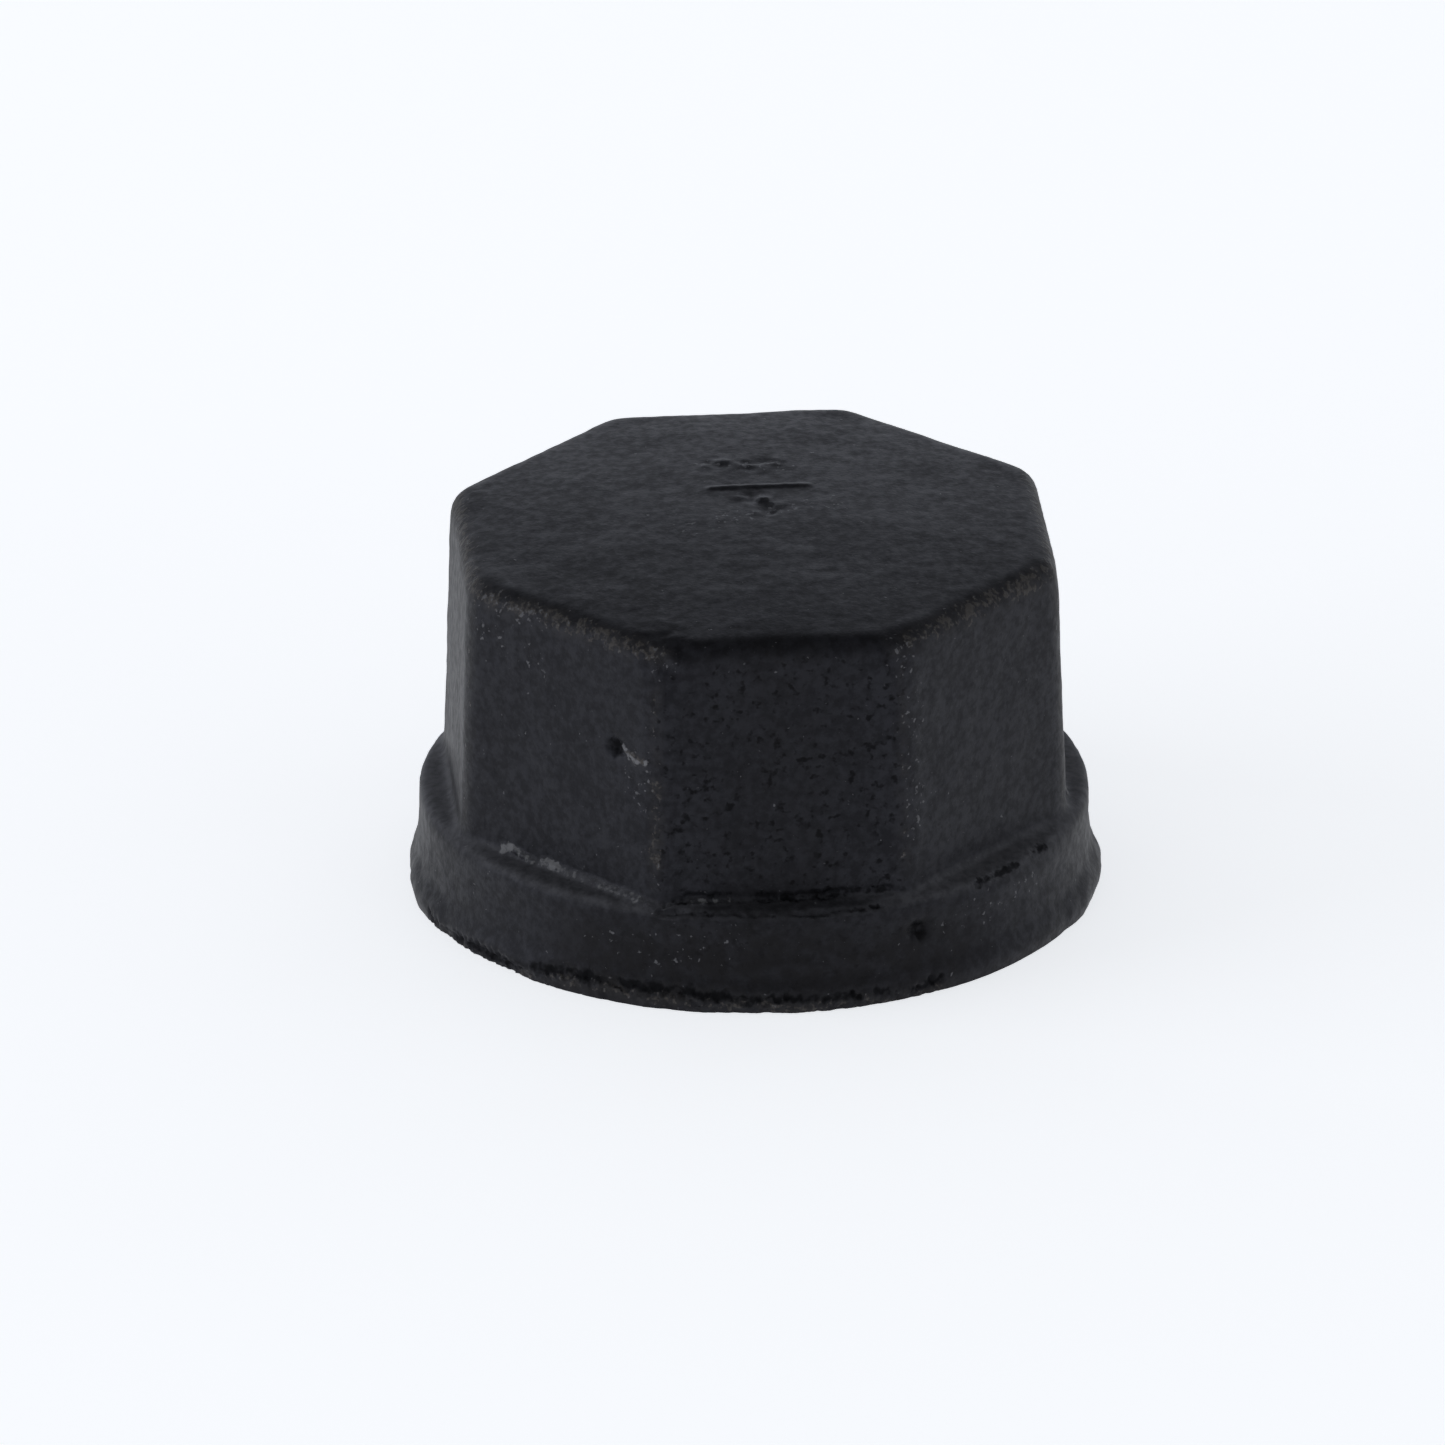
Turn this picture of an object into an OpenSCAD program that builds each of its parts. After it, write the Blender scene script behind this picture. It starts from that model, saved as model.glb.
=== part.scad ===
// Screwed pipe cap, size 3/4 (DN 20): one octagonal malleable-iron casting with a round
// reinforcing band at its mouth and a parallel pipe thread inside. Millimetres.
// The origin is at the centre of the faced rim, and +Z runs up to the closed crown.

/* [Octagon] */
// Height from the rim face to the edge of the crown
body_height = 21.4; // [17:0.1:28]
// Width across flats at the crown
flats_top = 33.2; // [30:0.1:42]
// Draft of the eight flats, in degrees
draft_angle = 1.9; // [0:0.1:4]
// Radius of the eight vertical corners
corner_r = 2.2; // [0.5:0.1:5]
// Radius of the rounded edge around the crown
crown_edge_r = 1.2; // [0.4:0.1:2.5]
// Rise of the shallow domed crown above its edge
crown_rise = 0.6; // [0.2:0.1:1.5]

/* [Band] */
// Outside diameter of the lip, the widest part of the cap
lip_d = 38.8; // [36:0.1:48]
// Height of the lip's straight edge
lip_height = 0.9; // [0.4:0.1:1.5]
// Size of the small break where the lip meets the rim face
lip_break = 0.2; // [0.1:0.05:0.4]
// Outside diameter of the band at its waist
band_d = 37.5; // [34.5:0.1:47]
// Height at which the flare of the lip has run out into the waist
flare_top = 2.9; // [1.6:0.1:3.5]
// Height of the ledge on top of the band
band_height = 5.8; // [4.8:0.1:9]
// Radius of the rounded shoulder at the edge of the ledge
shoulder_r = 1.1; // [0.4:0.1:1.2]

/* [Thread] */
// Major diameter of the pipe thread, at its roots
thread_major_d = 26.44; // [22:0.01:32]
// Depth of the thread groove, from its roots to the bore
thread_depth = 0.92; // [0.7:0.01:1.1]
// Pitch of the thread, 14 turns to the inch
thread_pitch = 1.814; // [1.5:0.001:2.4]
// Angle between the two flanks, in degrees
thread_angle = 55; // [50:1:60]
// Length of the plain bore and corner left above the full thread
thread_relief = 4; // [2.5:0.1:7]
// Clearance of the countersink round the thread's roots, at the rim face
mouth_clearance = 0.38; // [0.1:0.01:1]

/* [Cavity] */
// Thickness of the closed end over the cavity
end_wall = 3.8; // [2.5:0.1:5]
// Radius of the corner at the bottom of the cavity
cavity_corner_r = 2.2; // [0.5:0.1:4]

/* [Size mark] */
// Length of the plain raised bar on the crown
mark_length = 6.4; // [3:0.1:10]
// Width of the bar
mark_width = 0.8; // [0.4:0.1:2]
// Height of the bar above the middle of the crown
mark_rise = 0.25; // [0.1:0.05:0.6]
// Distance of the bar behind the middle of the crown
mark_offset = 3.8; // [0:0.1:7]

/* [Hidden] */
$fn = 96;

total_height = body_height + crown_rise;
cavity_depth = total_height - end_wall;
thread_length = cavity_depth - thread_relief;
root_r = thread_major_d / 2;
bore_r = root_r - thread_depth;
countersink_depth = thread_depth + mouth_clearance;

// Cutters start this far outside the metal, and lumps are sunk this far into it.
overlap = 1;
// The crown's dome ends this far inside the rounded edge.
crown_margin = 0.4;

// The octagon is a stack of rounded outlines, with this many steps round each curve.
corner_steps = 6;
edge_steps = 5;

// The thread groove is a trapezium swept along a helix. It starts one turn below the rim, and
// its open side lies a little inside the bore. In the runout its root rises out of the metal.
turn_steps = 36;
root_flat = thread_pitch / 6;
groove_inner_r = bore_r - 0.25;
runout_root_r = groove_inner_r + 0.05;
runout_turns = 0.5;

// Half the width across flats, at one height
function apothem_at(z) = flats_top / 2 + (body_height - z) * tan(draft_angle);

// An octagon with rounded corners. Its flats face along and between the X and Y axes.
function outline(apothem, z) = [
    for (corner = [0:7], step = [0:corner_steps])
        let (
            middle = 22.5 + 45 * corner,
            turn = middle - 22.5 + 45 * step / corner_steps,
            reach = (apothem - corner_r) / cos(22.5)
        )
        [
            reach * cos(middle) + corner_r * cos(turn),
            reach * sin(middle) + corner_r * sin(turn),
            z
        ]
];

// The outline at one angle round the crown's edge, from 0 on the flats to 90 on top
function edge_outline(angle) =
    let (z = body_height - crown_edge_r * (1 - sin(angle)))
    outline(apothem_at(z) - crown_edge_r * (1 - cos(angle)), z);

// The groove's section at one step along its helix
function groove_section(step, last_step) =
    let (
        angle = 360 * step / turn_steps,
        z = thread_pitch * (step / turn_steps - 1),
        depth_share = min(1, (last_step - step) / (runout_turns * turn_steps)),
        outer_r = runout_root_r + (root_r - runout_root_r) * depth_share,
        outer_half = root_flat / 2,
        inner_half = outer_half + (outer_r - groove_inner_r) * tan(thread_angle / 2)
    )
    [
        for (corner = [
            [groove_inner_r, inner_half],
            [outer_r, outer_half],
            [outer_r, -outer_half],
            [groove_inner_r, -inner_half]
        ])
            [corner[0] * cos(angle), corner[0] * sin(angle), z + corner[1]]
    ];

// A closed solid through a row of sections that all have the same number of points
module loft(sections) {
    count = len(sections[0]);
    last = len(sections) - 1;
    polyhedron(
        points = [for (section = sections) each section],
        faces = [
            [for (i = [0:count - 1]) i],
            for (k = [0:last - 1], i = [0:count - 1])
                let (a = k * count + i, b = k * count + (i + 1) % count)
                each [[a, a + count, b], [b, a + count, b + count]],
            [for (i = [count - 1:-1:0]) last * count + i]
        ]
    );
}

// The eight drafted flats, from inside the band up to the rounded edge of the crown
module octagon() {
    loft([
        outline(apothem_at(band_height - overlap), band_height - overlap),
        for (k = [0:edge_steps]) edge_outline(90 * k / edge_steps)
    ]);
}

// The shallow dome on the crown
module crown() {
    dome_r = flats_top / 2 - crown_edge_r - crown_margin;
    sphere_r = (dome_r * dome_r + crown_rise * crown_rise) / (2 * crown_rise);
    intersection() {
        translate([0, 0, total_height - sphere_r])
            sphere(r = sphere_r);
        translate([0, 0, body_height - overlap])
            cylinder(r = dome_r, h = overlap + crown_rise + overlap);
    }
}

// The plain raised bar that stands in for the size mark
module size_mark() {
    bar_height = overlap + mark_rise;
    translate([0, mark_offset, total_height - overlap]) {
        translate([-mark_length / 2 + mark_width / 2, -mark_width / 2, 0])
            cube([mark_length - mark_width, mark_width, bar_height]);
        for (side = [-1, 1])
            translate([side * (mark_length - mark_width) / 2, 0, 0])
                cylinder(d = mark_width, h = bar_height);
    }
}

// The round band, as a solid disc: a lip, a flare, a waist, and a rounded shoulder on top
module band() {
    shoulder_base = band_height - shoulder_r;
    rotate_extrude() {
        polygon([
            [0, 0],
            [lip_d / 2 - lip_break, 0],
            [lip_d / 2, lip_break],
            [lip_d / 2, lip_height],
            [band_d / 2, flare_top],
            [band_d / 2, shoulder_base],
            [band_d / 2 - shoulder_r, shoulder_base],
            [band_d / 2 - shoulder_r, band_height],
            [0, band_height]
        ]);
        intersection() {
            translate([band_d / 2 - shoulder_r, shoulder_base])
                circle(r = shoulder_r);
            translate([band_d / 2 - shoulder_r, shoulder_base])
                square(shoulder_r);
        }
    }
}

// The round bore with its rounded bottom corner, and the countersink at its mouth
module cavity() {
    straight_depth = cavity_depth - cavity_corner_r;
    translate([0, 0, -overlap])
        cylinder(r = bore_r, h = overlap + straight_depth);
    rotate_extrude() {
        translate([0, straight_depth - overlap])
            square([bore_r - cavity_corner_r, cavity_corner_r + overlap]);
        intersection() {
            translate([bore_r - cavity_corner_r, straight_depth])
                circle(r = cavity_corner_r);
            translate([bore_r - cavity_corner_r, straight_depth])
                square(cavity_corner_r);
        }
    }
    translate([0, 0, -overlap])
        cylinder(
            r1 = root_r + mouth_clearance + overlap,
            r2 = bore_r,
            h = countersink_depth + overlap
        );
}

// The thread groove, from one turn below the rim to its runout
module thread_groove() {
    last_step = ceil((thread_length / thread_pitch + 1 + runout_turns) * turn_steps);
    loft([for (step = [0:last_step]) groove_section(step, last_step)]);
}

module cap_casting() {
    color("dimgray")
    difference() {
        union() {
            band();
            octagon();
            crown();
            size_mark();
        }
        cavity();
        thread_groove();
    }
}

cap_casting();
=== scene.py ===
import math

import bmesh
import bpy
import numpy as np
from mathutils import Matrix, Vector


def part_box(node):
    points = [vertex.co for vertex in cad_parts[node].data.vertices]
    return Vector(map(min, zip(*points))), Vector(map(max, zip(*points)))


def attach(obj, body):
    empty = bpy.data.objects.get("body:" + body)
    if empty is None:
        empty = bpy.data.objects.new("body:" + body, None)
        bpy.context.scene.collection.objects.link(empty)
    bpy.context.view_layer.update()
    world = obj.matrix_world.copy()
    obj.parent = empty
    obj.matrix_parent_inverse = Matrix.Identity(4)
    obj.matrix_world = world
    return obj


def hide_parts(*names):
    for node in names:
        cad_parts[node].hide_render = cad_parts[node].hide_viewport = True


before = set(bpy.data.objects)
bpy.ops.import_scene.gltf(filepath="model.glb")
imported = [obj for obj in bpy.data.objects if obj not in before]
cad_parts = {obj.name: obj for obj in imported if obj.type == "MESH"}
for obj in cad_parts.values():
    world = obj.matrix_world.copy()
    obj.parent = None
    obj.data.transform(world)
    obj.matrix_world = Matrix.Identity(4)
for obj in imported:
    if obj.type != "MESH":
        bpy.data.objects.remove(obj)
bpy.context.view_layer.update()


# ---------------------------------------------------------------------------------------
# The raw casting. A screwed cap is one piece of malleable iron, poured in a sand mould: an
# octagon with drafted flats and a closed, slightly domed crown, standing on a round band.
# It is built a little long at the mouth, as a casting is, because the rim is faced later.

mm = 0.001
lip_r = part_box("cap_casting")[1].x
mark_rise = 0.25 * mm
crown_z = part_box("cap_casting")[1].z - mark_rise

flats_top = 33.2 * mm
draft = math.radians(1.9)
corner_r = 2.1 * mm
crown_edge_r = 1.25 * mm
crown_rise = 0.6 * mm
body_z = crown_z - crown_rise
facing_allowance = 0.6 * mm

band_r = 18.95 * mm
band_z = 5.85 * mm
shoulder_r = 0.55 * mm
skin_grain = 0.25 * mm


def deselect_all():
    if bpy.context.object and bpy.context.object.mode != "OBJECT":
        bpy.ops.object.mode_set(mode="OBJECT")
    bpy.ops.object.select_all(action="DESELECT")


def select_only(piece):
    deselect_all()
    piece.select_set(True)
    bpy.context.view_layer.objects.active = piece


def pick_edges(test):
    """In edit mode, select only the edges whose two ends pass the test."""
    shape = bmesh.from_edit_mesh(bpy.context.object.data)
    bpy.ops.mesh.select_mode(type="EDGE")
    bpy.ops.mesh.select_all(action="DESELECT")
    for edge in shape.edges:
        edge.select_set(test(edge.verts[0].co, edge.verts[1].co))
    shape.select_flush_mode()
    bmesh.update_edit_mesh(bpy.context.object.data)


def pick_faces(test):
    """In edit mode, select only the faces whose middle and normal pass the test."""
    shape = bmesh.from_edit_mesh(bpy.context.object.data)
    bpy.ops.mesh.select_mode(type="FACE")
    bpy.ops.mesh.select_all(action="DESELECT")
    for face in shape.faces:
        face.select_set(test(face.calc_center_median(), face.normal))
    bmesh.update_edit_mesh(bpy.context.object.data)


def turned(name, profile, sides=192):
    """A turned solid: a disc extruded and scaled through the radii and heights of its profile."""
    deselect_all()
    radius, height = profile[0]
    bpy.ops.mesh.primitive_circle_add(
        vertices=sides, radius=radius, fill_type="NGON", location=(0, 0, height)
    )
    piece = bpy.context.object
    piece.name = name
    bpy.ops.object.transform_apply()
    bpy.ops.object.mode_set(mode="EDIT")
    bpy.ops.mesh.select_all(action="SELECT")
    for next_radius, next_height in profile[1:]:
        bpy.ops.mesh.extrude_region_move(
            TRANSFORM_OT_translate={"value": (0, 0, next_height - height)}
        )
        scale = next_radius / radius
        bpy.ops.transform.resize(value=(scale, scale, 1))
        radius, height = next_radius, next_height
    bpy.ops.mesh.select_all(action="SELECT")
    bpy.ops.mesh.normals_make_consistent(inside=False)
    bpy.ops.object.mode_set(mode="OBJECT")
    return piece


def quarter_arc(centre_r, centre_z, radius, steps):
    """Points round a rounded shoulder, from its side up to its top."""
    angles = [math.pi / 2 * i / steps for i in range(steps + 1)]
    return [(centre_r + radius * math.cos(a), centre_z + radius * math.sin(a)) for a in angles]


def apply_modifier(piece, kind, **settings):
    modifier = piece.modifiers.new(kind.lower(), kind)
    for setting, value in settings.items():
        setattr(modifier, setting, value)
    bpy.context.view_layer.objects.active = piece
    bpy.ops.object.modifier_apply(modifier=modifier.name)


# The octagon block: an eight-sided bar, tapered by the draft, with rounded corners and edge.
deselect_all()
base_apothem = flats_top / 2 + body_z * math.tan(draft)
bpy.ops.mesh.primitive_cylinder_add(
    vertices=8,
    radius=base_apothem / math.cos(math.pi / 8),
    depth=body_z,
    location=(0, 0, body_z / 2),
    rotation=(0, 0, math.pi / 8),
)
octagon = bpy.context.object
bpy.ops.object.transform_apply()
bpy.ops.object.mode_set(mode="EDIT")
pick_faces(lambda middle, normal: normal.z > 0.9)
taper = flats_top / 2 / base_apothem
bpy.ops.transform.resize(value=(taper, taper, 1))
pick_edges(lambda a, b: abs(a.z - b.z) > body_z / 2)
bpy.ops.mesh.bevel(offset=corner_r * math.tan(math.pi / 8), segments=5, affect="EDGES")
pick_edges(lambda a, b: min(a.z, b.z) > body_z - 0.01 * mm)
bpy.ops.mesh.bevel(offset=crown_edge_r, segments=6, affect="EDGES")
bpy.ops.object.mode_set(mode="OBJECT")

# The shallow dome of the crown.
dome_r = flats_top / 2 - crown_edge_r + 0.3 * mm
dome_steps = [1, 0.94, 0.86, 0.76, 0.65, 0.53, 0.4, 0.26, 0.1]
dome = turned(
    "dome",
    [(dome_r, body_z - 3 * mm)]
    + [(dome_r * step, crown_z - crown_rise * step**2) for step in dome_steps],
)

# The band: a slightly rounded lip, a flare, a waist and a rounded shoulder under its ledge.
band = turned(
    "band",
    [
        (lip_r - 0.15 * mm, -facing_allowance),
        (lip_r, 0.2 * mm),
        (lip_r + 0.1 * mm, 0.7 * mm),
        (lip_r - 0.03 * mm, 1.3 * mm),
        (lip_r - 0.28 * mm, 1.95 * mm),
        (band_r + 0.08 * mm, 2.8 * mm),
        (band_r, 3.5 * mm),
        *quarter_arc(band_r - shoulder_r, band_z - shoulder_r, shoulder_r, 6),
        (dome_r, band_z + 0.25 * mm),
    ],
)

# The shapes are fused into one skin of even faces, fine enough to carve marks into.
deselect_all()
for part in (octagon, dome, band):
    part.select_set(True)
bpy.context.view_layer.objects.active = octagon
bpy.ops.object.join()
cap = bpy.context.object
cap.name = "cap"
apply_modifier(cap, "REMESH", mode="VOXEL", voxel_size=skin_grain)
apply_modifier(cap, "SMOOTH", factor=0.5, iterations=4)


# ---------------------------------------------------------------------------------------
# The marks of the foundry. Sand leaves the whole skin uneven. Thin fins and cold laps run
# along the ledge, the lip and the corners are chipped, and a plain bar stands on the crown
# in a patch that the mould has blurred.


def path(*points):
    """A line through points given in millimetres."""
    return np.array(points, dtype=float) * mm


def on_band(radius, *places):
    """A line round the band, through pairs of an angle in degrees and a height."""
    turns = [(math.radians(angle), height) for angle, height in places]
    return path(*[(radius * math.cos(t), radius * math.sin(t), height) for t, height in turns])


def on_flat(direction, *places):
    """A line on one flat of the octagon, through pairs of a sideways and an upright place."""
    facing = math.radians(direction)
    points = []
    for sideways, height in places:
        apothem = (flats_top / 2 + (body_z - height * mm) * math.tan(draft)) / mm
        points.append(
            (
                apothem * math.cos(facing) - sideways * math.sin(facing),
                apothem * math.sin(facing) + sideways * math.cos(facing),
                height,
            )
        )
    return path(*points)


def distance_to(points, line):
    """How far each point lies from a line of straight stretches."""
    if len(line) == 1:
        return np.linalg.norm(points - line[0], axis=1)
    nearest = np.full(len(points), np.inf)
    for start, end in zip(line[:-1], line[1:]):
        along = end - start
        share = np.clip((points - start) @ along / (along @ along), 0, 1)
        gap = np.linalg.norm(points - start - share[:, None] * along, axis=1)
        nearest = np.minimum(nearest, gap)
    return nearest


def gap_to(points, lines, ragged=0.0):
    """The distance from the nearest of the lines. Ragged lines wander."""
    x, y, z = (points / mm).T
    wander = np.stack([np.sin(7 * y + 3 * z), np.sin(6 * z + 4 * x), np.sin(8 * x + 5 * y)], axis=1)
    wander += 0.7 * np.stack([np.sin(17 * z), np.sin(15 * x), np.sin(13 * y)], axis=1)
    points = points + wander * ragged
    return np.min([distance_to(points, line) for line in lines], axis=0)


def near(points, lines, width, ragged=0.0):
    """1 on the lines, fading to 0 at the given distance from them."""
    share = np.clip(1 - (gap_to(points, lines, ragged) / width) ** 2, 0, 1)
    return share * share


def points_of(piece):
    flat = np.empty(len(piece.data.vertices) * 3)
    piece.data.vertices.foreach_get("co", flat)
    return flat.reshape(-1, 3)


fins = [
    on_flat(225, (-3.9, 6.25), (-2.7, 6.2), (-1.8, 6.0)),
    on_flat(225, (-0.9, 6.2), (1.0, 6.05), (2.3, 5.9)),
    on_flat(225, (2.9, 6.0), (4.6, 5.95), (6.7, 5.8)),
    on_flat(270, (-4.9, 5.8), (-4.3, 5.85)),
    on_flat(270, (-3.6, 5.8), (-3.0, 5.9)),
    on_flat(135, (-5.0, 6.1), (-1.5, 6.0), (2.5, 6.2)),
    on_flat(0, (-4.5, 6.0), (0.5, 6.15), (3.5, 6.0)),
    on_flat(45, (1.5, 6.1), (6.0, 5.9)),
]
laps = [
    on_flat(270, (-6.5, 5.85), (-5.1, 6.27), (-2.3, 6.05), (1.1, 6.05), (3.9, 6.2), (6.1, 6.3)),
    on_band(18.75, (249, 5.65), (257, 5.95), (268, 6.0), (276, 5.85), (283, 5.9), (287, 5.75)),
    on_band(18.65, (307, 5.4), (312, 5.5), (317, 5.5)),
    on_band(18.6, (322, 5.5), (326, 5.55)),
    on_flat(90, (-6.0, 6.1), (-2.0, 6.0), (3.0, 6.1)),
    on_band(18.7, (60, 5.2), (69, 5.0)),
    on_band(18.7, (150, 5.1), (158, 5.2)),
]
chipped_lip = [
    on_band(
        19.35,
        (196, 0.4),
        (212, 0.5),
        (221, 0.55),
        (230, 1.15),
        (240, 1.25),
        (248, 1.2),
        (256, 1.1),
        (266, 0.8),
        (278, 0.8),
        (297, 0.65),
    ),
    on_band(19.35, (20, 0.6), (34, 0.9), (45, 0.7)),
    on_band(19.35, (118, 0.5), (127, 0.8)),
]
pits = [
    on_flat(225, (4.1, 14.55)),
    on_flat(135, (-3.0, 10.2)),
    on_flat(90, (4.4, 15.6)),
    on_flat(0, (-2.2, 12.4)),
    on_flat(45, (3.9, 8.9)),
    on_band(18.95, (294, 3.9)),
    on_band(18.95, (98, 3.2)),
]
pit_lips = [
    on_flat(225, (4.8, 14.7), (5.5, 14.3), (6.2, 14.3)),
    on_flat(45, (4.6, 9.2), (5.0, 8.6)),
]
nicked_edges = [on_flat(270, (-7.0, 13.2), (-7.05, 11.6), (-7.0, 9.8), (-7.1, 8.3))]
bar = [path((-2.0, 3.9, 22.0), (3.4, 3.95, 22.0))]

# The skin is made finer along these marks.
bpy.context.view_layer.objects.active = cap
points = points_of(cap)
marked = near(points, fins + laps + chipped_lip + pits + pit_lips + bar, 1.0 * mm) > 0.15
bpy.ops.object.mode_set(mode="EDIT")
bpy.ops.mesh.select_mode(type="VERT")
bpy.ops.mesh.select_all(action="DESELECT")
bpy.ops.object.mode_set(mode="OBJECT")
cap.data.vertices.foreach_set("select", marked)
bpy.ops.object.mode_set(mode="EDIT")
bpy.ops.mesh.subdivide(number_cuts=1)
bpy.ops.object.mode_set(mode="OBJECT")


def clouds(name, size, depth=2, contrast=1.0, hard=False):
    texture = bpy.data.textures.new(name, "CLOUDS")
    texture.noise_scale = size
    texture.noise_depth = depth
    texture.contrast = contrast
    texture.noise_type = "HARD_NOISE" if hard else "SOFT_NOISE"
    return texture


def push(piece, name, weights, strength, texture, middle=0.5):
    """Move the skin in or out by a texture, as strongly as the weights say."""
    group = piece.vertex_groups.new(name=name)
    for index in np.flatnonzero(weights > 0.004):
        group.add([int(index)], float(weights[index]), "REPLACE")
    apply_modifier(
        piece,
        "DISPLACE",
        texture=texture,
        texture_coords="LOCAL",
        strength=strength,
        mid_level=middle,
        vertex_group=name,
    )
    piece.vertex_groups.clear()


points = points_of(cap)
everywhere = np.ones(len(points))
corners = [on_flat(d, (s * 6.9, 21.3)) for d in (0, 90, 180, 270) for s in (-1, 1)]
broken = clouds("broken", 0.9 * mm, contrast=1.6)
crumbs = clouds("crumbs", 0.45 * mm, hard=True, contrast=1.4)
patches = np.maximum(
    near(points, [path((-1.4, 7.4, 22), (1.6, 7.2, 22))], 1.5 * mm),
    near(points, [path((0.2, 1.9, 22), (0.9, 0.2, 22))], 1.7 * mm),
)
push(cap, "wave", everywhere, 0.16 * mm, clouds("wave", 7 * mm))
push(cap, "grain", everywhere, 0.065 * mm, clouds("grain", 1.0 * mm, depth=3))
worn_weight = near(points, corners, 2.4 * mm) * np.where(points[:, 1] < 0, 1, 0.15)
push(cap, "worn_corners", worn_weight, -0.3 * mm, clouds("worn", 1.5 * mm), 0.0)
first_corner = near(points, [path((-6.9, -16.6, 21.3))], 3.4 * mm)
push(cap, "first_corner", first_corner, -0.4 * mm, broken, 0.0)
push(cap, "bar", near(points, bar, 0.4 * mm), 0.14 * mm, clouds("bar", 3 * mm), -0.3)
push(cap, "patches", patches, 0.4 * mm, broken, 0.5)
push(cap, "nicks", near(points, nicked_edges, 0.8 * mm), -0.35 * mm, crumbs, 0.2)
fin_line = near(points, fins, 0.42 * mm, 0.05 * mm)
push(cap, "fins", fin_line, 0.22 * mm, clouds("fins", 1.4 * mm), -0.3)
long_breaks = clouds("long_breaks", 2.2 * mm, contrast=1.7)
push(cap, "laps", near(points, laps, 0.4 * mm, 0.05 * mm), -0.4 * mm, long_breaks, 0.0)
slump = [on_band(18.9, (301, 5.7), (318, 5.6), (334, 5.7)), on_band(18.9, (64, 5.7), (80, 5.7))]
push(cap, "slump", near(points, slump, 1.2 * mm), -0.2 * mm, clouds("slump", 4 * mm), -0.2)
swell = [on_band(19.4, (334, 0.7), (344, 0.8), (356, 0.6)), on_band(19.4, (184, 0.6), (198, 0.5))]
push(cap, "swell", near(points, swell, 1.8 * mm), 0.26 * mm, clouds("swell", 3 * mm), -0.3)
push(cap, "pits", near(points, pits, 0.85 * mm, 0.1 * mm), -0.6 * mm, clouds("pits", 1 * mm), -0.2)
push(cap, "pit_lips", near(points, pit_lips, 0.35 * mm, 0.06 * mm), 0.2 * mm, broken, 0.0)
push(cap, "lip_line", near(points, chipped_lip, 0.55 * mm, 0.1 * mm), -0.45 * mm, long_breaks, 0.15)
lip_chips = [line - [0, 0, 0.5 * mm] for line in chipped_lip]
lip_edge = near(points, lip_chips, 0.9 * mm, 0.15 * mm)
push(cap, "lip_edge", lip_edge, -0.35 * mm, long_breaks, 0.2)
push(cap, "lip_crumbs", lip_edge, -0.2 * mm, crumbs, 0.4)


# ---------------------------------------------------------------------------------------
# Machining. The cored hole is opened to the bore with a countersink at its mouth, and the rim is
# faced flat. A tap for the right-hand parallel pipe thread is made and used too, but it comes
# out inside out, so its cut leaves no groove and the bore stays plain. This is a known fault.

major_r = 13.22 * mm
thread_depth = 0.92 * mm
bore_r = major_r - thread_depth
pitch = 1.814 * mm
flank = math.radians(27.5)
thread_z = 14.2 * mm
runout = 0.9 * mm
cavity_z = 18.2 * mm
cavity_corner_r = 2.2 * mm
countersink = thread_depth + 0.38 * mm


def cut(piece, cutter):
    """Take the cutter's shape out of the piece, and throw the cutter away."""
    apply_modifier(piece, "BOOLEAN", object=cutter, operation="DIFFERENCE", solver="EXACT")
    bpy.data.objects.remove(cutter)


core_corner = quarter_arc(bore_r - cavity_corner_r, cavity_z - cavity_corner_r, cavity_corner_r, 8)
core_mouth = (bore_r + countersink + 1 * mm, -1 * mm)
cut(cap, turned("core", [core_mouth, (bore_r, countersink), *core_corner], sides=144))

# The tap: one turn of groove profile, swept up its helix. Its crests stay just inside the bore.
tap_core_r = bore_r - 0.02 * mm
root_half = pitch / 12
mouth_half = root_half + (major_r - tap_core_r) * math.tan(flank)
profile = [
    (tap_core_r, -pitch / 2),
    (tap_core_r, -mouth_half),
    (major_r, -root_half),
    (major_r, root_half),
    (tap_core_r, mouth_half),
    (tap_core_r, pitch / 2),
]
tap_mesh = bpy.data.meshes.new("tap")
tap_mesh.from_pydata(
    [(r, 0, z - pitch) for r, z in profile],
    [(i, i + 1) for i in range(len(profile) - 1)],
    [],
)
tap = bpy.data.objects.new("tap", tap_mesh)
bpy.context.collection.objects.link(tap)
select_only(tap)
apply_modifier(
    tap,
    "SCREW",
    axis="Z",
    angle=math.tau,
    screw_offset=pitch,
    iterations=math.ceil((thread_z + runout) / pitch) + 2,
    steps=90,
    render_steps=90,
    use_merge_vertices=True,
    merge_threshold=0.005 * mm,
)
for vertex in tap_mesh.vertices:
    radius = math.hypot(vertex.co.x, vertex.co.y)
    fade = min(1, max(0, (thread_z + runout - vertex.co.z) / runout))
    scale = (tap_core_r + (radius - tap_core_r) * fade) / radius
    vertex.co.x *= scale
    vertex.co.y *= scale
bpy.ops.object.mode_set(mode="EDIT")
bpy.ops.mesh.select_all(action="SELECT")
bpy.ops.mesh.remove_doubles(threshold=0.002 * mm)
bpy.ops.mesh.fill_holes(sides=0)
bpy.ops.mesh.select_all(action="SELECT")
bpy.ops.mesh.normals_make_consistent(inside=False)
bpy.ops.object.mode_set(mode="OBJECT")
cut(cap, tap)
facing_r = lip_r + 2 * mm
cut(cap, turned("facing", [(facing_r, -2 * mm), (facing_r, 0)], sides=64))

# The cutters leave a few faces with no width.
select_only(cap)
bpy.ops.object.mode_set(mode="EDIT")
bpy.ops.mesh.select_all(action="SELECT")
bpy.ops.mesh.dissolve_degenerate(threshold=0.0002 * mm)
bpy.ops.object.mode_set(mode="OBJECT")


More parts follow.
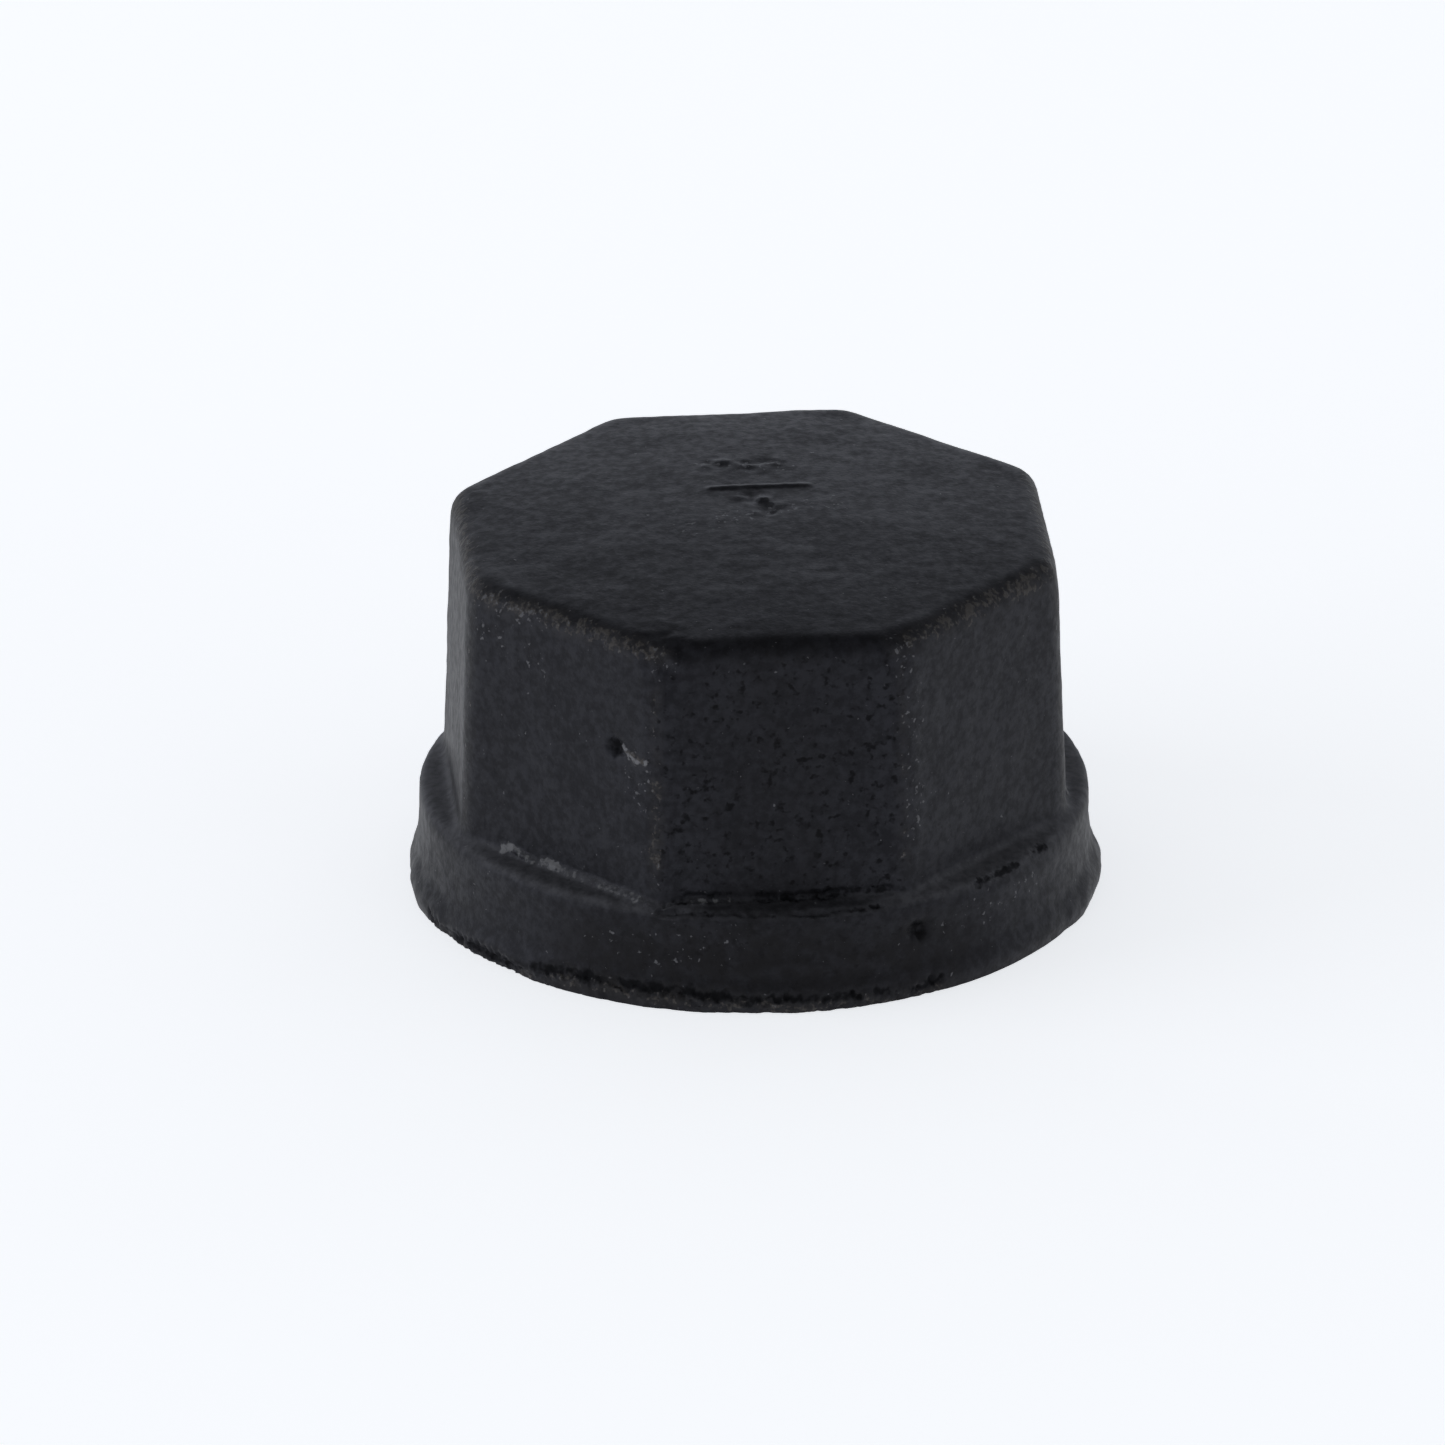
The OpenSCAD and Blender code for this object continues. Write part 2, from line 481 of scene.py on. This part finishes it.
# ---------------------------------------------------------------------------------------
# The materials. Their nodes are written as expressions. Bare cut iron comes first.


class Signal:
    """An output socket of a material. Python expressions on it add the nodes they need."""

    def __init__(self, socket):
        self.socket = socket
        self.tree = socket.id_data

    def node(self, kind, values, out=0, **settings):
        """Add a node with its settings, feed its sockets, and return one of its outputs."""
        made = self.tree.nodes.new("ShaderNode" + kind)
        for name, value in settings.items():
            setattr(made, name, value)
        for name, value in values.items():
            if isinstance(value, Signal):
                self.tree.links.new(value.socket, made.inputs[name])
            else:
                made.inputs[name].default_value = value
        return Signal(made.outputs[out])

    def math(self, operation, *values):
        return self.node("Math", dict(enumerate(values)), operation=operation)

    def __add__(self, other):
        return self.math("ADD", self, other)

    __radd__ = __add__

    def __sub__(self, other):
        return self.math("SUBTRACT", self, other)

    def __rsub__(self, other):
        return self.math("SUBTRACT", other, self)

    def __mul__(self, other):
        return self.math("MULTIPLY", self, other)

    __rmul__ = __mul__

    def over(self, low, high):
        """0 below low, 1 above high, and smooth in between. Low may be the larger."""
        values = {"Value": self, "From Min": low, "From Max": high}
        return self.node("MapRange", values, interpolation_type="SMOOTHSTEP")

    def blend(self, first, second):
        """The first colour where this is 0 and the second where it is 1."""
        values = {0: self, 6: first, 7: second}
        return self.node("Mix", values, out=2, data_type="RGBA")

    def stretched(self, x, y, z):
        """A place made denser or sparser along each axis."""
        return self.node("VectorMath", {0: self, 1: (x, y, z)}, operation="MULTIPLY")

    def wavy(self, scale, amount):
        """A place shifted a little this way and that, so that round spots become ragged."""
        shift = self.node("TexNoise", {"Vector": self, "Scale": scale}, out=1)
        shift = shift.stretched(amount, amount, amount)
        return self.node("VectorMath", {0: self, 1: shift}, operation="ADD")

    def noise(self, scale, detail=3.0, roughness=0.55):
        values = {"Vector": self, "Scale": scale, "Detail": detail, "Roughness": roughness}
        return self.node("TexNoise", values)

    def spots(self, scale, radius, share):
        """Small round spots: one in each cell of a loose grid, kept in a share of the cells."""
        cell = self.node("TexVoronoi", {"Vector": self, "Scale": scale})
        chance = Signal(cell.socket.node.outputs["Color"])
        chance = chance.node("SeparateColor", {"Color": chance})
        return cell.over(radius, radius * 0.45) * chance.over(share, share - 0.02)


def new_material(name, specular):
    """A material's shader, and the place on the object in millimetres."""
    material = bpy.data.materials.new(name)
    material.use_nodes = True
    shader = material.node_tree.nodes["Principled BSDF"]
    shader.inputs["Specular IOR Level"].default_value = specular
    shader.inputs["Specular Tint"].default_value = (0.86, 0.865, 1.0, 1)
    place = Signal(material.node_tree.nodes.new("ShaderNodeTexCoord").outputs["Object"])
    place = place.stretched(1 / mm, 1 / mm, 1 / mm)
    return material, shader, place


def feed(shader, **signals):
    for name, signal in signals.items():
        signal.tree.links.new(signal.socket, shader.inputs[name.replace("_", " ")])


cut_iron, shader, place = new_material("cut_iron", 0.5)
rings = place.stretched(0.25, 0.25, 5).noise(1.2, 2)
tarnish = place.noise(0.5, 4)
feed(
    shader,
    Base_Color=(tarnish * 0.6 + rings * 0.4).over(0.35, 0.65).blend(
        (0.035, 0.033, 0.032, 1), (0.13, 0.125, 0.12, 1)
    ),
    Roughness=0.32 + 0.25 * tarnish,
    Metallic=tarnish.over(0.4, 0.6) * 0.5 + 0.35,
    Normal=rings.node("Bump", {"Height": rings, "Distance": 0.02 * mm, "Strength": 0.5}),
)


# ---------------------------------------------------------------------------------------
# The black finish. The cap is dipped in a thin black varnish with a cool tint. Its hollows get
# painted shade, its fins a painted highlight and its ledge painted light, and along the edges the
# varnish is rubbed through to brown and bare iron.


def keep_attribute(piece, name, values):
    attribute = piece.data.attributes.new(name, "FLOAT", "POINT")
    attribute.data.foreach_set("value", values.astype(np.float32))


points = points_of(cap)
normals = np.empty(len(points) * 3)
cap.data.vertices.foreach_get("normal", normals)
_, normal_y, normal_z = normals.reshape(-1, 3).T
height = points[:, 2]

# Rubbed places: the crown's edge, less along its front, and the corners, nicks and chips. The
# line on the crown's edge runs this far in from the flats and this far below the crown.
rub_in = 0.3 * mm
rub_down = 0.55 * mm
rub_reach = 0.95 * mm
facings = [math.radians(d) for d in (0, 45, 90, 135)]
across = [np.abs(points[:, 0] * math.cos(a) + points[:, 1] * math.sin(a)) for a in facings]
reach = np.max(across, axis=0)
from_edge = np.hypot(reach - flats_top / 2 + rub_in, height - body_z + rub_down)
edge = np.clip(1 - (from_edge / rub_reach) ** 2, 0, 1)
front_edge = near(points, [path((-5.2, -16.6, 20.9), (5.4, -16.6, 20.9))], 2.2 * mm)
uprights = [on_flat(d, (s * 7.0, 20), (s * 7.1, 7)) for d in (0, 90, 180, 270) for s in (-1, 1)]
worn = np.max(
    [
        edge * (0.78 - 0.7 * np.clip(front_edge * 1.5, 0, 1)),
        near(points, corners, 1.7 * mm) * 0.95,
        near(points, uprights, 0.7 * mm) * 0.45,
        near(points, nicked_edges, 0.8 * mm) * 0.8,
        near(points, lip_chips, 0.8 * mm) * 0.6,
        near(points, pit_lips, 0.5 * mm) * 0.8,
    ],
    axis=0,
)

# Light is painted onto the upward faces of the ledge. Sand has pitted the front and back flats
# most, and the pits get painted shade. The band is darkened by a brownish stain and painted shade,
# and two of the flats by a little painted shade.
ledge_light_z = 5.8 * mm
ledge_light_reach = 1.2 * mm
upward = np.clip((normal_z - 0.2) / 0.5, 0, 1)
lit_ledge = upward * np.clip(1 - ((height - ledge_light_z) / ledge_light_reach) ** 2, 0, 1)
lit_ledge *= np.clip(np.abs(points[:, 0]) / (9 * mm), 0.4, 1)
coarse = 0.25 + 0.75 * np.clip((np.abs(normal_y) - 0.8) / 0.15, 0, 1)
coarse *= 1 - np.clip(normal_z * 1.5, 0, 1)
coarse *= np.where(height < 5.4 * mm, 0.55, 1)
stain_and_shade_places = [on_band(19, (238, 2), (268, 3), (298, 2)), on_band(19, (60, 2), (100, 3))]
stained_and_shaded = near(points, stain_and_shade_places, 5 * mm)
shaded_flats = [on_flat(270, (0, 7), (0, 19)), on_flat(45, (0, 8), (0, 16))]
stained_and_shaded = np.maximum(stained_and_shaded, near(points, shaded_flats, 7.5 * mm) * 0.45)
flecked_places = [
    path((-3.5, -1.6, 22), (0.5, 0.2, 22), (4.5, 1.0, 22)),
    path((-2.0, 7.6, 22), (2.4, 6.6, 22)),
    on_flat(225, (-5.5, 18.9), (-1.5, 17.9)),
    on_flat(225, (5.4, 13.6), (5.8, 11.8)),
    on_flat(315, (-6.2, 17.5), (-5.8, 10.0)),
    on_flat(90, (-3.0, 17.5), (2.5, 15.0)),
    on_flat(270, (-6.9, 21.0), (-6.6, 20.2)),
    on_flat(225, (-6.4, 20.9), (-2.0, 20.8)),
    on_flat(270, (6.7, 21.1), (7.0, 19.6)),
    on_band(18.95, (240, 4.0), (248, 2.8), (262, 4.3)),
    on_band(18.95, (300, 3.4), (320, 4.4)),
    on_band(18.95, (40, 3.9), (70, 4.4)),
]
flecked = near(points, flecked_places, 1.7 * mm) * np.where(height < 5 * mm, 0.75, 1)

keep_attribute(cap, "worn", worn)
keep_attribute(cap, "lit_ledge", lit_ledge)
keep_attribute(cap, "coarse", coarse)
keep_attribute(cap, "stained_and_shaded", stained_and_shaded)
keep_attribute(cap, "flecked", flecked)
# The gaps to the line marks are kept in millimetres, up to this far.
far = 3
marks = {"fin": fins, "lap": laps, "chip": chipped_lip, "pit": pits, "lip": pit_lips}
for name, lines in marks.items():
    gap = gap_to(points, lines, 0.06 * mm) / mm
    keep_attribute(cap, name + "_gap", np.minimum(gap, far))

varnish, shader, place = new_material("black_varnish", 0.2)


def painted(name):
    return place.node("Attribute", {}, out=2, attribute_name=name)


broad = place.noise(0.3, 3)
patchy = place.noise(0.9, 3)
grain = place.noise(1.9, 5, 0.6)
flaky = place.noise(3.3, 2, 0.5)
crumb = place.noise(4.5, 2, 0.5)
flow = (patchy - 0.5) * 1.1 + (flaky - 0.5) * 0.5

mottle = (grain * 0.75 + broad * 0.25).over(0.38, 0.62)
# Dents: small spots where sand pitted the flats, sunk a little by the bump and darkened with
# painted shade, their shine taken off.
dents_and_shade = (place.noise(2.1, 2, 0.5) * 0.85 + broad * 0.15).over(0.55, 0.69) * painted("coarse")
# Darker places: a brownish stain with painted shade on the band, and painted shade on two flats.
# They also lose some shine.
stain_and_shade = painted("stained_and_shaded") * (0.5 + 0.5 * patchy.over(0.35, 0.6))
# Painted light: the upward faces of the ledge are made paler and rougher, with a grainy edge.
ledge_light = painted("lit_ledge") * (0.6 + 0.4 * grain.over(0.35, 0.65))
haze = painted("worn") * (0.3 + 0.7 * patchy.over(0.4, 0.6))
rub = (flaky * 1.1 + 0.5 * painted("worn") + 0.5 * patchy).over(1.1, 1.3)
specks = place.wavy(1.8, 0.8).spots(0.9, 0.1, 0.12)
flecks = (flaky + 0.12 * painted("flecked") + 0.07 * painted("worn")).over(0.72, 0.81)
# Painted highlight: the thin fins along the ledge are made pale, where they would catch the light.
fin_highlight = (painted("fin_gap") + 0.5 * flow + 0.25 * (crumb - 0.5)).over(0.36, 0.2)
bright_lips = (painted("lip_gap") + flow).over(0.17, 0.02) * 0.6
# Painted shade in the laps, the lip chips and the pits: near-black, rougher, and with the shine
# taken off.
lap_shade = (painted("lap_gap") + flow).over(0.24, 0.0) * 0.85
chip_shade = (painted("chip_gap") + flow).over(0.42, 0.05)
pit_shade = (painted("pit_gap") + flow).over(0.65, 0.25)
hollow_shade = 1 - (1 - lap_shade) * (1 - chip_shade) * (1 - pit_shade)

# Onto the mottled near-black go painted shade in the dents, stains and hollows, painted light on
# the ledge, worn brown, pale specks and flecks, and a painted highlight on the fins.
color = mottle.blend((0.0035, 0.0035, 0.0043, 1), (0.013, 0.0133, 0.016, 1))
color = dents_and_shade.blend(color, (0.0012, 0.0012, 0.0013, 1))
color = stain_and_shade.blend(color, (0.005, 0.0045, 0.004, 1))
color = ledge_light.blend(color, (0.07, 0.07, 0.076, 1))
color = haze.blend(color, (0.026, 0.0245, 0.0235, 1))
color = rub.blend(color, (0.049, 0.0445, 0.04, 1))
color = specks.blend(color, (0.08, 0.08, 0.085, 1))
color = flecks.blend(color, (0.08, 0.08, 0.085, 1))
color = hollow_shade.blend(color, (0.002, 0.002, 0.002, 1))
color = fin_highlight.blend(color, (0.13, 0.13, 0.133, 1))
color = bright_lips.blend(color, (0.2, 0.2, 0.21, 1))
relief = grain * 0.32 + crumb * 0.22 - dents_and_shade * 0.3 + specks * 0.4 + rub * 0.3
# Metallic over the near-black colours takes the shine off the painted shade in the dents, hollows
# and stains.
feed(
    shader,
    Base_Color=color,
    Roughness=0.55 - 0.09 * mottle + 0.15 * haze + 0.15 * hollow_shade + 0.2 * ledge_light,
    Metallic=0.55 * dents_and_shade + (0.45 * hollow_shade + 0.22 * stain_and_shade) * (1 - dents_and_shade) * (1 - fin_highlight),
    Normal=relief.node("Bump", {"Height": relief, "Distance": 0.12 * mm, "Strength": 0.5}),
)

# Where the cutters have been, on the rim face and inside the bore, the iron is bare.
cap.data.materials.clear()
cap.data.materials.append(varnish)
cap.data.materials.append(cut_iron)
select_only(cap)
bpy.ops.object.mode_set(mode="EDIT")
pick_faces(
    lambda middle, normal: (normal.z < -0.99 and middle.z < 0.01 * mm)
    or (math.hypot(middle.x, middle.y) < major_r + 0.6 * mm and middle.z < thread_z + runout)
)
cap.active_material_index = 1
bpy.ops.object.material_slot_assign()
bpy.ops.object.mode_set(mode="OBJECT")
bpy.ops.object.shade_smooth_by_angle(angle=math.radians(50))

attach(cap, "root")
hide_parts("cap_casting")


# ---------------------------------------------------------------------------------------
# The studio: a white floor, a ring of low softboxes, strongest on the left and behind, and a
# pale room that is dim overhead.

deselect_all()
bpy.ops.mesh.primitive_plane_add(size=60, location=(0, 0, 0))
floor = bpy.context.object
floor.name = "floor"
paper, shader, _ = new_material("paper", 0.2)
shader.inputs["Base Color"].default_value = (0.88, 0.88, 0.88, 1)
shader.inputs["Roughness"].default_value = 0.9
shader.inputs["Emission Color"].default_value = (0.95, 0.97, 1, 1)
shader.inputs["Emission Strength"].default_value = 0.68
floor.data.materials.append(paper)


lamp_aim = Vector((0, 0, 0.01))


def softbox(name, place, size, power, color):
    light = bpy.data.lights.new(name, "AREA")
    light.shape = "RECTANGLE"
    light.size, light.size_y = size
    light.energy = power
    light.color = color
    lamp = bpy.data.objects.new(name, light)
    lamp.location = place
    lamp.rotation_euler = (lamp_aim - Vector(place)).to_track_quat("-Z", "Y").to_euler()
    lamp.visible_camera = False
    bpy.context.collection.objects.link(lamp)


softbox("left_box", (-1.5, -0.1, 0.4), (1.3, 0.6), 7, (0.9, 0.93, 1.0))
softbox("right_box", (1.5, -0.1, 0.4), (1.3, 0.6), 2.2, (0.92, 0.95, 1.0))
softbox("front_box", (0.2, -2.2, 0.55), (2.4, 0.7), 1.8, (0.94, 0.96, 1.0))
softbox("back_box", (0, 2.0, 0.5), (2.4, 0.8), 6.5, (0.84, 0.88, 1.0))
for corner_x in (-1.4, 1.4):
    softbox("back_corner_box", (corner_x, 1.4, 0.6), (1.1, 0.7), 2.4, (0.88, 0.92, 1.0))
    softbox("front_corner_box", (corner_x, -1.5, 0.6), (1.1, 0.7), 2.0, (0.92, 0.95, 1.0))

room = bpy.data.worlds.new("room")
room.use_nodes = True
backdrop = room.node_tree.nodes["Background"]
backdrop.inputs["Color"].default_value = (0.93, 0.96, 1.0, 1)
direction = Signal(room.node_tree.nodes.new("ShaderNodeTexCoord").outputs["Generated"])
skyward = direction.node("SeparateXYZ", {"Vector": direction}, out=2)
glow = 0.18 + 0.57 * skyward.over(0.18, 0.02)
room.node_tree.links.new(glow.socket, backdrop.inputs["Strength"])
bpy.context.scene.world = room
bpy.context.scene.view_settings.view_transform = "Standard"

# The camera stands a little left of the front and looks down on the crown.
turn = math.radians(-4.92)
tilt = math.radians(24.3)
roll = math.radians(0.17)
away = Vector((math.sin(turn) * math.cos(tilt), -math.cos(turn) * math.cos(tilt), math.sin(tilt)))
side = Vector((math.cos(turn), math.sin(turn), 0))
aim = Vector((-1.753, 0.151, 9.112)) * mm
distance = 1.1755
focal_length = 518.5
camera = bpy.data.objects.new("camera", bpy.data.cameras.new("camera"))
camera.data.lens = focal_length
camera.data.clip_end = 20
basis = Matrix((side, away.cross(side), away)).transposed().to_4x4()
upright = basis @ Matrix.Rotation(-roll, 4, "Z")
camera.matrix_world = Matrix.Translation(aim + away * distance) @ upright
bpy.context.collection.objects.link(camera)
bpy.context.scene.camera = camera
